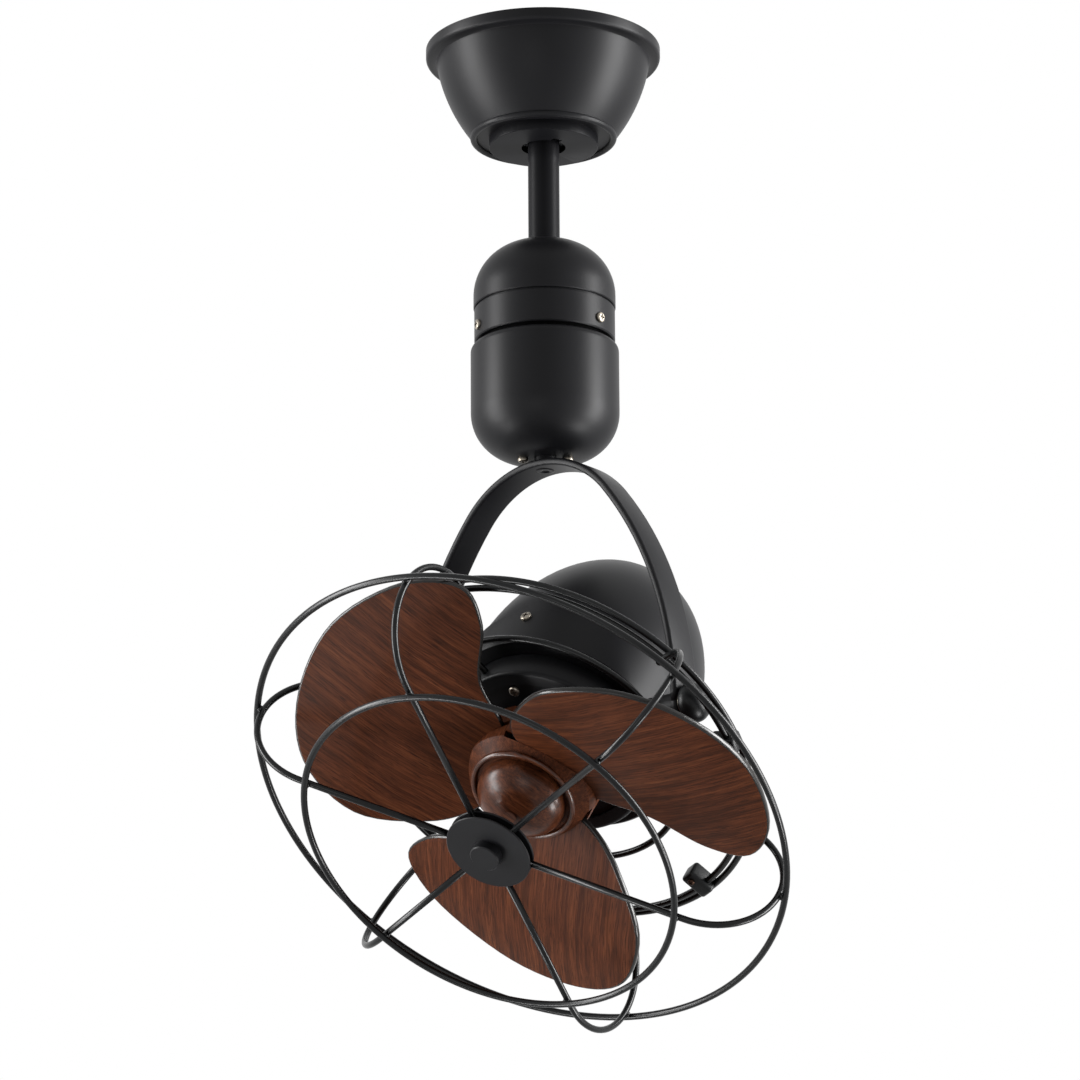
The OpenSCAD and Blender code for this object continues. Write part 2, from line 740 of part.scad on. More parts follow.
module tilt_bosses() {
    color(black) for (side = [0, 180]) rotate(side) translate([0, 0, pivot_z]) difference() {
        translate([boss_start_x - 6, 0, 0]) rotate([0, 90, 0])
            cylinder(r = boss_r, h = boss_end_x - boss_start_x + 6);
        translate([boss_end_x - stud_in - 1, 0, 0]) rotate([0, 90, 0]) cylinder(r = stud_r + run_gap, h = 30);
        rotate(-side) rotate([90 + tilt_angle, 0, 0]) translate([0, -axis_drop, 0]) {
            translate([0, 0, -30]) cylinder(r = front_r, h = 60);
            translate([0, 0, guard_s]) torus(guard_ring_r, wire_r + move_gap);
            translate([0, 0, guard_s])
                tube(guard_ring_r + wire_r + move_gap, guard_ring_r - wire_r - move_gap, 2 * boss_r);
        }
    }
}

module front_housing() {
    wall_in = front_r - front_wall;
    color(black) fan() difference() {
        rotate_extrude() polygon(concat(
            [[wall_in, housing_back_s], [front_r, housing_back_s],
            [front_r, band_front_s - 4], [band_r - 3.5, band_front_s - 4], [band_r - 3.5, band_front_s - 1.5],
            [front_r, band_front_s - 1.5]],
            arc(front_r - 3, face_s - 3, 3, 0, 90, 6),
            [[rim_in_r, face_s], [rim_in_r, ledge_s], [ledge_in_r, ledge_s], [ledge_in_r, ledge_s - ledge_t],
            [wall_in, ledge_s - ledge_t]]));
        around(3, plate_screw_angle) translate([plate_screw_r, 0, ledge_s - ledge_t - 1])
            cylinder(r = screw_r + fit_gap, h = ledge_t + 2);
    }
}

module front_plate() {
    color(black) fan() difference() {
        union() {
            translate([0, 0, ledge_s]) cylinder(r = plate_r, h = plate_t);
            translate([0, 0, front_bearing_s]) tube(bearing_r + 3, bearing_r + fit_gap, bearing_l + 0.1);
        }
        translate([0, 0, ledge_s - 1]) cylinder(r = shaft_r + 1.5, h = plate_t + 2);
        around(3, plate_screw_angle) translate([plate_screw_r, 0, ledge_s - 1])
            cylinder(r = screw_r + fit_gap, h = plate_t + 2);
    }
}

module plate_screws() {
    color(nickel) fan(plate_front_s) around(3, plate_screw_angle) translate([plate_screw_r, 0, 0])
        pan_screw(screw_head_r + 0.2, 2.2, screw_r, plate_t + ledge_t);
}

module housing_band() {
    inner = band_r - lip_wall;
    color(black) fan() difference() {
        rotate_extrude() polygon([[front_r + 0.6, band_front_s - 1.4], [front_r + 0.6, band_front_s],
            [band_r - 1.5, band_front_s], [band_r, band_front_s - 1.5], [band_r, band_back_s],
            [inner, band_back_s], [inner, band_front_s - 1.4]]);
        around(3, housing_screw_angle) translate([0, 0, housing_screw_s]) rotate([0, 90, 0])
            cylinder(r = screw_r + fit_gap, h = 2 * band_r);
    }
}

module housing_screws() {
    color(nickel) fan(housing_screw_s) around(3, housing_screw_angle)
        translate([band_r, 0, 0]) rotate([0, 90, 0]) pan_screw(screw_head_r + 0.2, 2.2, screw_r, 8);
}

module rear_cover() {
    wall = 2.2;
    steps = 26;
    outer = [for (i = [0:steps]) let (a = 90 * i / steps)
        [dome_r * cos(a), band_back_s - dome_depth * sin(a)]];
    inner = [for (i = [steps:-1:0]) let (a = 90 * i / steps)
        [(dome_r - wall) * cos(a), band_back_s - (dome_depth - wall) * sin(a)]];
    spigot = band_r - lip_wall - fit_gap;
    color(black) fan() difference() {
        rotate_extrude() polygon(concat(outer, inner, [[dome_r - wall, band_back_s + 14],
            [spigot, band_back_s + 14], [spigot, band_back_s]]));
        around(3, housing_screw_angle) translate([0, 0, housing_screw_s]) rotate([0, 90, 0])
            cylinder(r = screw_r + fit_gap, h = 2 * band_r);
    }
}

module end_bell() {
    color(steel) fan() difference() {
        union() {
            translate([0, 0, bell_s]) cylinder(r = front_r, h = bell_t);
            translate([0, 0, rear_bearing_s]) cylinder(r = bearing_r + 3, h = bearing_l + 0.1);
        }
        translate([0, 0, rear_bearing_s - 1]) cylinder(r = bearing_r + fit_gap, h = bearing_l + 1);
        translate([0, 0, bell_s - 1]) cylinder(r = shaft_r + 1.5, h = bell_t + 2);
    }
}

module motor_bearings() {
    color(nickel) for (s = [front_bearing_s, rear_bearing_s])
        fan(s) tube(bearing_r, shaft_r + run_gap, bearing_l);
}

module stator() {
    color(steel) fan(stator_back_s)
        tube(front_r - front_wall - fit_gap, stator_bore, stator_front_s - stator_back_s);
}

module windings() {
    wind_l = 6;
    color(copper) for (s = [stator_front_s, stator_back_s - wind_l])
        fan(s) rotate_extrude() translate([(stator_bore + stator_r) / 2, wind_l / 2])
            rounded_rect(stator_r - stator_bore - 14, wind_l, 2);
}

module capacitor() {
    color("#2b2b2b") fan(bell_s - 18) translate([22, -18, 0]) cube([18, 36, 18]);
}

module guard_arms() {
    reach = guard_r - front_r;
    color(black) fan(arm_s) around(3, arm_angle) translate([front_r, 0, 0]) rotate([0, 90, 0])
        cylinder(r = wire_r, h = reach);
}

module guard_inner_ring() {
    color(black) fan(guard_s) torus(guard_ring_r, wire_r);
}

module guard_outer_ring() {
    color(black) fan(guard_s) torus(guard_r, wire_r);
}

module cage_rear_ring() {
    color(black) fan(rear_ring_s) torus(rear_ring_r, wire_r);
}

module cage_clips() {
    color(black) fan() difference() {
        for (a = clip_angles) rotate(a) translate([clip_mid_r, 0, clip_mid_s]) rotate([90, 0, 0])
            linear_extrude(clip_w, center = true) rounded_rect(clip_l, clip_h, clip_round);
        translate([0, 0, rear_ring_s]) torus(rear_ring_r, wire_r + fit_gap / 2);
        translate([0, 0, guard_s]) torus(guard_r, wire_r + fit_gap / 2);
        for (a = clip_angles) rotate(a) translate([clip_screw_r, 0, clip_mid_s + clip_h / 2 - 6])
            cylinder(r = 1.3, h = 8);
    }
}

module clip_screws() {
    color(nickel) fan(clip_mid_s + clip_h / 2) for (a = clip_angles) rotate(a) translate([clip_screw_r, 0, 0])
        pan_screw(2.4, 1.6, 1.2, 5);
}

module cage_outer_ring() {
    color(black) fan(cage_s) torus(cage_r, wire_r);
}

module cage_front_ring() {
    color(black) fan(spoke_s + wire_d) torus(front_ring_r, wire_r);
}

module cage_spokes() {
    color(black) fan() around(spokes, spoke_angle) {
        translate([spoke_start_r, 0, spoke_s]) rotate([0, 90, 0])
            cylinder(r = wire_r, h = spoke_run - spoke_start_r);
        translate([spoke_run, 0, cage_s]) rotate([90, 0, 0]) rotate(-90)
            rotate_extrude(angle = 180) translate([spoke_bend, 0]) circle(r = wire_r, $fn = 48);
    }
}

module centre_disc() {
    difference() {
        rotate_extrude() polygon([[0, 0], [disc_r - 0.5, 0], [disc_r, 0.5], [disc_r, disc_t - 0.5],
            [disc_r - 0.5, disc_t], [0, disc_t]]);
        translate([0, 0, -1]) cylinder(r = disc_bolt_r + fit_gap, h = disc_t + 2);
    }
}

module disc_back() {
    color(black) fan(spoke_s - wire_r - disc_t) centre_disc();
}

module disc_front() {
    color(black) fan(spoke_s + wire_r) centre_disc();
}

module disc_bolt() {
    length = disc_t + wire_d + disc_t + 2;
    color(black) fan(spoke_s + wire_r + disc_t) {
        rotate_extrude() polygon([[0, 0], [nub_r, 0], [nub_r, nub_h - 0.7], [nub_r - 0.7, nub_h], [0, nub_h]]);
        translate([0, 0, -length]) cylinder(r = disc_bolt_r, h = length + 0.1);
        translate([0, 0, -length - 1]) cylinder(r = 5.5, h = 3, $fn = 6);
    }
}

module motor_shaft() {
    color(nickel) fan(rear_bearing_s - 2) cylinder(r = shaft_r, h = shaft_end_s - rear_bearing_s + 2);
    color(nickel) fan(web_front_s) difference() {
        cylinder(r = nut_flat_r, h = hub_nut_h, $fn = 6);
        translate([0, 0, -1]) cylinder(r = shaft_r - 0.1, h = hub_nut_h + 2);
    }
}

module rotor_core() {
    color(steel) fan(stator_back_s)
        tube(stator_bore - 0.5, shaft_r + fit_gap / 2, stator_front_s - stator_back_s);
}

// A place in a blade's frame: +X out along the blade, +Y towards its leading side
module blade_frame(k) {
    fan(blade_s) rotate(blade_phi + k * 360 / blades) rotate([blade_pitch, 0, 0]) children();
}

// The curved sheet that blades are cut from, between two heights over its crown
module bent_sheet(low, high) {
    translate([blade_crown_r, 0, -blade_bend_r]) rotate([90, 0, 0]) difference() {
        cylinder(r = blade_bend_r + high, h = 300, center = true, $fn = 360);
        cylinder(r = blade_bend_r + low, h = 302, center = true, $fn = 360);
    }
}

module blade(k) {
    grown = [for (p = blade_outline) let (q = norm(p)) q < hub_r + 10 ? p
        : p * (1 + (blade_tip_r / outline_tip_r - 1) * (q - hub_r) / (outline_tip_r - hub_r))];
    color(walnut) blade_frame(k) difference() {
        intersection() {
            translate([0, 0, -40]) linear_extrude(60) polygon(smooth_loop(grown));
            bent_sheet(-blade_t, 0);
        }
        for (p = blade_screw_places) translate([p[0], p[1], -40]) cylinder(r = screw_r + fit_gap, h = 60);
    }
}

module blade_1() {
    blade(0);
}

module blade_2() {
    blade(1);
}

module blade_3() {
    blade(2);
}

// Height of a blade's front face over its frame at a distance x along the blade
function sheet_z(x) = sqrt(pow(blade_bend_r, 2) - pow(x - blade_crown_r, 2)) - blade_bend_r;

module blade_screws() {
    color(nickel) for (k = [0:blades - 1]) blade_frame(k) for (p = blade_screw_places)
        translate([p[0], p[1], sheet_z(p[0]) + 0.9]) pan_screw(3.4, 2, screw_r, 14);
}

module blade_carrier() {
    color(steel) difference() {
        union() {
            fan(carrier_disc_s) cylinder(r = hub_r - hub_wall - 1, h = carrier_disc_t);
            fan(carrier_disc_s) cylinder(r = carrier_boss_r, h = web_front_s - hub_web_t - carrier_disc_s);
            for (k = [0:blades - 1]) intersection() {
                blade_frame(k) intersection() {
                    translate([10, -17, -40]) cube([28, 35, 60]);
                    translate([blade_crown_r, 0, -blade_bend_r]) rotate([90, 0, 0])
                        cylinder(r = blade_bend_r - blade_t, h = 300, center = true, $fn = 360);
                }
                fan(carrier_disc_s) cylinder(r = hub_r - hub_wall - 3, h = 60);
            }
        }
        fan(hub_back_s) cylinder(r = shaft_r + fit_gap / 2, h = 60);
        for (k = [0:blades - 1]) blade_frame(k) for (p = blade_screw_places)
            translate([p[0], p[1], sheet_z(p[0]) - 15]) cylinder(r = screw_r + fit_gap / 2, h = 30);
    }
}

module hub_body() {
    inner = hub_r - hub_wall;
    neck = hub_lip_r + 1;
    neck_s = lip_s - 1.5;
    color(walnut) difference() {
        fan() union() {
            rotate_extrude() polygon([[inner, hub_back_s], [hub_r - 2, hub_back_s], [hub_r, hub_back_s + 3],
                [hub_r, 40], [hub_r - 1, 44.5], [neck + 3, neck_s - 2.4], [neck, neck_s],
                [hub_lip_r, web_front_s], [shaft_r + 0.5, web_front_s], [shaft_r + 0.5, web_front_s - hub_web_t],
                [hub_lip_r - 2, web_front_s - hub_web_t], [inner, 40]]);
            translate([0, 0, lip_s]) torus(hub_lip_r, lip_tube_r);
        }
        for (k = [0:blades - 1]) blade_frame(k) intersection() {
            bent_sheet(-blade_t - move_gap, move_gap);
            translate([0, 0, -40]) linear_extrude(60) polygon([[0, 0],
                90 * [cos(slot_from), sin(slot_from)], [90, 0], [60, 80], 90 * [cos(slot_to), sin(slot_to)]]);
            translate([0, 0, -40]) difference() {
                cylinder(r = 90, h = 60);
                translate([0, 0, -1]) cylinder(r = 20, h = 62);
            }
        }
    }
}

module hub_nose() {
    seat = nose_r - 2.5;
    dome_h = nose_h - nose_base_h - 0.6;
    color(walnut) fan(web_front_s) rotate_extrude() polygon(concat(
        [[seat, 0], [nose_r, 0]],
        [for (i = [0:20]) let (a = 86 * i / 20) [nose_r * cos(a), nose_base_h + dome_h * sin(a)]],
        [[4.6, nose_h], [0, nose_h], [0, nose_h - 5]],
        [for (i = [14:-1:0]) let (a = 90 * i / 14) [seat * cos(a), (nose_h - 5) * sin(a)]]));
}

ceiling_bracket();
canopy();
canopy_cover();
canopy_screws();
hanger_ball();
downrod();
cross_pins();
rod_collar();
upper_cap();
mid_band();
band_screws();
chassis_plate();
gearmotor();
spindle();
spindle_nut();
pan_pinion();
lower_shell();
pan_carrier();
pan_bushes();
pan_gear();
flange_screws();
yoke_neck();
yoke();
yoke_bolt();
leg_washers();
knob_left();
knob_right();
tilt_bosses();
front_housing();
front_plate();
plate_screws();
housing_band();
housing_screws();
rear_cover();
end_bell();
motor_bearings();
stator();
windings();
capacitor();
guard_arms();
guard_inner_ring();
guard_outer_ring();
cage_clips();
clip_screws();
cage_rear_ring();
cage_outer_ring();
cage_front_ring();
cage_spokes();
disc_back();
disc_front();
disc_bolt();
motor_shaft();
rotor_core();
blade_carrier();
blade_1();
blade_2();
blade_3();
blade_screws();
hub_body();
hub_nose();
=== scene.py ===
# Ceiling fan with one caged head: finishes, finer shapes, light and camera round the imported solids.
import json
import math

import bmesh
import bpy
from mathutils import Matrix, Vector

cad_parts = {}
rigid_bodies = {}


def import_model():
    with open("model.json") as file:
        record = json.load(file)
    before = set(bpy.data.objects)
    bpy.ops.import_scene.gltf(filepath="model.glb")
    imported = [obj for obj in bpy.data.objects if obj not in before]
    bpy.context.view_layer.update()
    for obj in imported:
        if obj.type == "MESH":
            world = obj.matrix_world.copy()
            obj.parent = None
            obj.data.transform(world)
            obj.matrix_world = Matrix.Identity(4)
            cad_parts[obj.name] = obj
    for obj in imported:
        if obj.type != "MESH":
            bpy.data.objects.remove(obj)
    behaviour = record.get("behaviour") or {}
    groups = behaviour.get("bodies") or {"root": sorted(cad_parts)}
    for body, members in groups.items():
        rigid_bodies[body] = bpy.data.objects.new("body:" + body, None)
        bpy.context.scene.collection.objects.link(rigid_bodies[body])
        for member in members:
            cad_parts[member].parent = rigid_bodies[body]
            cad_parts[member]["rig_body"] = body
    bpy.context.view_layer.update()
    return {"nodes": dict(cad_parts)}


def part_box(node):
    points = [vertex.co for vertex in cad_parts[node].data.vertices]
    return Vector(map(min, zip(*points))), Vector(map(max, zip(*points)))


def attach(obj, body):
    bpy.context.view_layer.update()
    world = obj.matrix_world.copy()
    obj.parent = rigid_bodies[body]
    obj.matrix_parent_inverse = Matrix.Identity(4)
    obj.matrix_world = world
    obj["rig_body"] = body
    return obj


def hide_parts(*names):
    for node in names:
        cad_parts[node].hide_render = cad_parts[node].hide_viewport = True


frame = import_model()
nodes = frame["nodes"]
print("frame loaded:", len(nodes), "nodes")

mm = 0.001
# places closer than this count as one, in m
same = 1e-6
fullTurn = 2 * math.pi

# The head's own frame, as in the solids: X along the tilt axis, Z along the fan axis
headFrame = {"tilt": 52, "pivotZ": -485 * mm, "axisDrop": 8 * mm}
leanBack = math.radians(90 + headFrame["tilt"])
headTurn = Matrix.Translation((0, 0, headFrame["pivotZ"])) @ Matrix.Rotation(leanBack, 4, "X")
fanTurn = headTurn @ Matrix.Translation((0, -headFrame["axisDrop"], 0))

# The photograph's camera, solved from the circles in it: distance and height in m, azimuth in degrees,
# the other angles in radians, focal length and frame in pixels, sensor in mm
camera = {
    "distance": 4.00737, "azimuth": 38.9726, "height": -1.59406,
    "pitch": 0.301, "pan": -0.001, "roll": -0.006,
    "focal": 6287.24, "pixels": 1080, "sensor": 36, "farthest": 50,
}


def roundColumn(degrees, distance, height):
    # A place at an angle round the column, measured from the front
    angle = math.radians(degrees)
    return Vector((math.sin(angle) * distance, -math.cos(angle) * distance, height))


def placeCamera():
    # the way the camera looks, first as seen from azimuth 0
    pan, pitch, roll = camera["pan"], camera["pitch"], camera["roll"]
    ahead = Vector((math.sin(pan) * math.cos(pitch), math.cos(pan) * math.cos(pitch), math.sin(pitch)))
    side = ahead.cross(Vector((0, 0, 1))).normalized()
    up = side.cross(ahead)
    right = math.cos(roll) * side + math.sin(roll) * up
    top = -math.sin(roll) * side + math.cos(roll) * up
    axes = Matrix((right, top, -ahead)).transposed()
    turn = Matrix.Rotation(math.radians(camera["azimuth"]), 3, "Z") @ axes
    place = roundColumn(camera["azimuth"], camera["distance"], camera["height"])
    data = bpy.data.cameras.new("photoCamera")
    data.sensor_width = camera["sensor"]
    data.lens = camera["focal"] * camera["sensor"] / camera["pixels"]
    data.clip_end = camera["farthest"]
    made = bpy.data.objects.new("photoCamera", data)
    made.matrix_world = Matrix.Translation(place) @ turn.to_4x4()
    bpy.context.scene.collection.objects.link(made)
    bpy.context.scene.camera = made


placeCamera()


def linearColour(hexText, shade=1.0):
    # sRGB hex to the linear colour that a shader socket takes, darkened by a shade
    parts = [int(hexText[i:i + 2], 16) / 255 for i in (1, 3, 5)]
    linear = [c / 12.92 if c <= 0.04045 else ((c + 0.055) / 1.055) ** 2.4 for c in parts]
    return [c * shade for c in linear] + [1]


def addNode(tree, kind, settings=None, values=None, links=None):
    # One node with its settings, its socket values and the sockets that feed it
    made = tree.nodes.new(kind)
    for name, value in (settings or {}).items():
        setattr(made, name, value)
    for name, value in (values or {}).items():
        made.inputs[name].default_value = value
    for name, source in (links or {}).items():
        tree.links.new(source, made.inputs[name])
    return made


def newMaterial(name):
    made = bpy.data.materials.new(name)
    made.use_nodes = True
    made.node_tree.nodes.clear()
    return made, made.node_tree


def finishMaterial(tree, shader):
    addNode(tree, "ShaderNodeOutputMaterial", links={"Surface": shader.outputs[0]})


def noise(tree, place, spotMm, detail, roughness=0.5):
    # Noise whose spots are about spotMm wide
    return addNode(tree, "ShaderNodeTexNoise",
                   values={"Scale": 1 / (spotMm * mm), "Detail": detail, "Roughness": roughness},
                   links={"Vector": place})


def blendColours(tree, factor, first, second):
    mixed = addNode(tree, "ShaderNodeMix", {"data_type": "RGBA"}, links={"Factor": factor})
    mixed.inputs[6].default_value = first
    mixed.inputs[7].default_value = second
    return mixed.outputs[2]


def spread(tree, factor, low, high):
    # A factor from 0 to 1, brought to the range from low to high
    return addNode(tree, "ShaderNodeMapRange", values={"To Min": low, "To Max": high},
                   links={"Value": factor}).outputs["Result"]


def relief(tree, height, strength, depthMm):
    # The normal that a height from 0 to 1 gives, depthMm deep
    return addNode(tree, "ShaderNodeBump", values={"Strength": strength, "Distance": depthMm * mm},
                   links={"Height": height}).outputs["Normal"]


def rampColours(ramp, stops):
    # Colour stops as (place, colour)
    band = ramp.color_ramp
    band.elements[0].position, band.elements[0].color = stops[0]
    band.elements[1].position, band.elements[1].color = stops[-1]
    for place, colour in stops[1:-1]:
        band.elements.new(place).color = colour


def dress(names, material):
    for name in names:
        piece = nodes[name]
        piece.data.materials.clear()
        piece.data.materials.append(material)


# Paints. Satin powder coat on the steel and cast covers: soft wide highlights, a very fine orange peel.
satinPaint = {"colour": "#0d0d0f", "fleck": "#131315", "roughness": 0.42, "specular": 0.13,
              "peelMm": 1.4, "peelDepthMm": 0.010}
# The tube and its cover ring took the coat duller.
tubePaint = {**satinPaint, "specular": 0.06}
# Harder gloss enamel on drawn wire: thin bright lines along it.
wirePaint = {"colour": "#060708", "fleck": "#0a0b0c", "roughness": 0.27, "specular": 0.22,
             "peelMm": 6, "peelDepthMm": 0.004}
# Sealed, black-stained rim of the boards: one thin bright line along it.
rimPaint = {"colour": "#0e0d0d", "fleck": "#161412", "roughness": 0.25, "specular": 0.32,
            "peelMm": 3, "peelDepthMm": 0.004}
# Painted shade: dull near-black for a ring that stands for the shade in the gap under the band.
gapShadeLook = {"colour": "#070707", "fleck": "#0b0b0b", "roughness": 0.85, "specular": 0.02,
            "peelMm": 0.8, "peelDepthMm": 0.05}
# Handled patches, hazeMm wide, are a little glossier or duller than the rest by roughSpread.
paintSurface = {"ior": 1.5, "hazeMm": 38, "roughSpread": 0.03, "peelStrength": 0.25}


def paintMaterial(name, look):
    made, tree = newMaterial(name)
    place = addNode(tree, "ShaderNodeTexCoord").outputs["Object"]
    peel = noise(tree, place, look["peelMm"], 2).outputs["Fac"]
    haze = noise(tree, place, paintSurface["hazeMm"], 3).outputs["Fac"]
    rough, change = look["roughness"], paintSurface["roughSpread"]
    tone = blendColours(tree, haze, linearColour(look["colour"]), linearColour(look["fleck"]))
    paint = addNode(tree, "ShaderNodeBsdfPrincipled",
                    values={"IOR": paintSurface["ior"], "Specular IOR Level": look["specular"]},
                    links={"Base Color": tone,
                           "Roughness": spread(tree, haze, rough - change, rough + change),
                           "Normal": relief(tree, peel, paintSurface["peelStrength"], look["peelDepthMm"])})
    finishMaterial(tree, paint)
    return made


satinBlack = paintMaterial("satinBlackPowderCoat", satinPaint)
tubeBlack = paintMaterial("satinBlackPowderCoatTube", tubePaint)
wireBlack = paintMaterial("blackWireEnamel", wirePaint)
bladeRim = paintMaterial("blackStainedRim", rimPaint)
# near-black material for the ring of painted shade in the gap under the band
gapShadeBlack = paintMaterial("paintedGapShade", gapShadeLook)

dress(["canopy_cover", "downrod"], tubeBlack)
dress(["canopy", "upper_cap", "mid_band", "chassis_plate", "lower_shell",
       "yoke_neck", "tilt_bosses", "front_housing", "front_plate", "housing_band", "rear_cover",
       "disc_back", "disc_front", "disc_bolt"], satinBlack)
dress(["guard_arms", "guard_inner_ring", "guard_outer_ring", "cage_rear_ring", "cage_outer_ring",
       "cage_front_ring", "cage_spokes"], wireBlack)

# Moulded black nylon on the knobs and clips: duller than the paint, with a fine spark-eroded grain.
nylon = {"colour": "#0f1011", "roughness": 0.36, "specular": 0.16, "ior": 1.52, "patchMm": 9,
         "roughSpread": 0.05, "grainMm": 0.5, "grainDepthMm": 0.02, "grainStrength": 0.3}


def plasticMaterial():
    made, tree = newMaterial("mouldedBlackNylon")
    place = addNode(tree, "ShaderNodeTexCoord").outputs["Object"]
    grain = addNode(tree, "ShaderNodeTexVoronoi", values={"Scale": 1 / (nylon["grainMm"] * mm)},
                    links={"Vector": place})
    patch = noise(tree, place, nylon["patchMm"], 3).outputs["Fac"]
    rough, change = nylon["roughness"], nylon["roughSpread"]
    body = addNode(tree, "ShaderNodeBsdfPrincipled",
                   values={"Base Color": linearColour(nylon["colour"]), "IOR": nylon["ior"],
                           "Specular IOR Level": nylon["specular"]},
                   links={"Roughness": spread(tree, patch, rough - change, rough + change),
                          "Normal": relief(tree, grain.outputs["Distance"], nylon["grainStrength"],
                                           nylon["grainDepthMm"])})
    finishMaterial(tree, body)
    return made


nylonBlack = plasticMaterial()
dress(["knob_left", "knob_right", "cage_clips", "capacitor"], nylonBlack)

# Each entry: colour, roughness, size of the surface pattern in mm, its depth in mm, its stretch along Z.
# Nickel plate on the screws is bright and slightly warm; zinc plate is dull and cloudy; black oxide on
# the gears is dark with an oily sheen; the castings are granular.
metals = {
    "nickelPlatedScrew": ("#8d867b", 0.34, 0.6, 0.004, 1),
    "blackenedSteelScrew": ("#3a2a22", 0.40, 0.6, 0.006, 1),
    "zincPlatedSteel": ("#a9abae", 0.38, 2.2, 0.010, 1),
    "oiledBlackSteel": ("#1d1c1b", 0.45, 0.8, 0.008, 1),
    "sinteredBronze": ("#a8753f", 0.45, 0.5, 0.015, 1),
    "laminatedMotorIron": ("#6e6f72", 0.50, 0.5, 0.030, 12),
    "enamelledCopperWire": ("#b0622c", 0.30, 0.9, 0.060, 1),
    "castAluminium": ("#a4a6a8", 0.46, 1.2, 0.020, 1),
}
# Clouds of tarnish, cloudMm wide: darker by cloudShade, with roughness from smoother to rougher.
metalSurface = {"cloudMm": 12, "cloudShade": 0.82, "smoother": 0.06, "rougher": 0.08, "grainStrength": 0.35}


def metalMaterial(name):
    colour, roughness, grainMm, depthMm, stretch = metals[name]
    made, tree = newMaterial(name)
    place = addNode(tree, "ShaderNodeTexCoord").outputs["Object"]
    # laminations lie square to the fan axis
    turned = addNode(tree, "ShaderNodeMapping",
                     values={"Scale": (1, 1, stretch), "Rotation": (-leanBack if stretch > 1 else 0, 0, 0)},
                     links={"Vector": place})
    grain = noise(tree, turned.outputs["Vector"], grainMm, 3).outputs["Fac"]
    cloud = noise(tree, place, metalSurface["cloudMm"], 2).outputs["Fac"]
    tone = blendColours(tree, cloud, linearColour(colour, metalSurface["cloudShade"]), linearColour(colour))
    body = addNode(tree, "ShaderNodeBsdfPrincipled", values={"Metallic": 1.0},
                   links={"Base Color": tone,
                          "Roughness": spread(tree, cloud, roughness - metalSurface["smoother"],
                                              roughness + metalSurface["rougher"]),
                          "Normal": relief(tree, grain, metalSurface["grainStrength"], depthMm)})
    finishMaterial(tree, body)
    return made


metal = {name: metalMaterial(name) for name in metals}
dress(["canopy_screws", "cross_pins", "band_screws", "spindle_nut", "flange_screws",
       "leg_washers", "plate_screws", "housing_screws", "motor_bearings", "motor_shaft", "blade_screws"],
      metal["nickelPlatedScrew"])
dress(["clip_screws"], metal["blackenedSteelScrew"])
dress(["ceiling_bracket", "hanger_ball", "rod_collar", "gearmotor", "spindle"], metal["zincPlatedSteel"])
dress(["pan_carrier", "pan_pinion", "pan_gear"], metal["oiledBlackSteel"])
dress(["pan_bushes"], metal["sinteredBronze"])
dress(["stator", "rotor_core"], metal["laminatedMotorIron"])
dress(["windings"], metal["enamelledCopperWire"])
dress(["end_bell", "blade_carrier"], metal["castAluminium"])
print("paint, plastic and metal finishes made")

# Walnut-grain film under satin lacquer on moulded blades and hub: red-brown ground, broad darker bands,
# fine pores drawn out along the grain. Widths and lengths of the bands, fibres and pores are in mm; a slow
# sway, swayMm long and wanderMm wide, keeps them from running dead straight. A stop is a place on a ramp.
walnut = {"dark": "#381d10", "ground": "#4f2a19", "warm": "#603722", "pore": "#251209",
          "pores": (0.7, 14, 4), "fibres": (1.3, 40, 3), "bands": (5, 110, 3),
          "swayMm": 55, "wanderMm": 5, "noiseMiddle": 0.5, "noiseRoughness": 0.6,
          "groundStops": (0.30, 0.52, 0.74), "fibreStops": (0.36, 0.66), "poreStops": (0.34, 0.48),
          "fibreDark": (0.60, 0.56, 0.52, 1), "fibreLight": (1.20, 1.18, 1.14, 1),
          "ior": 1.49, "specular": 0.06, "coatRoughness": 0.26, "smoother": 0.05, "rougher": 0.07,
          "poreStrength": 0.25, "poreDepthMm": 0.03}
# Each film: its texture coordinate, the turn that brings its grain onto X, its roughness, its clear coat
# and its shade. The lacquer on the lip and the nose is glossier than on the hub's side and the blades.
films = {
    "walnutFilmHub": ("Object", (-leanBack, math.radians(90), 0), 0.42, 0.0, 0.9),
    "walnutFilmLip": ("Object", (-leanBack, 0, math.radians(60)), 0.30, 0.5, 0.8),
    "walnutFilmNose": ("Object", (-leanBack, 0, math.radians(60)), 0.30, 0.28, 0.85),
    "walnutFilmBlade": ("UV", (0, 0, 0), 0.42, 0.0, 0.88),
}


def drawnOut(tree, place, streaks):
    # Noise stretched along X, from its width and length in mm and its detail
    widthMm, lengthMm, detail = streaks
    squeezed = addNode(tree, "ShaderNodeMapping", {"vector_type": "POINT"},
                       {"Scale": (widthMm / lengthMm, 1, 1)}, {"Vector": place})
    return noise(tree, squeezed.outputs["Vector"], widthMm, detail, walnut["noiseRoughness"]).outputs["Fac"]


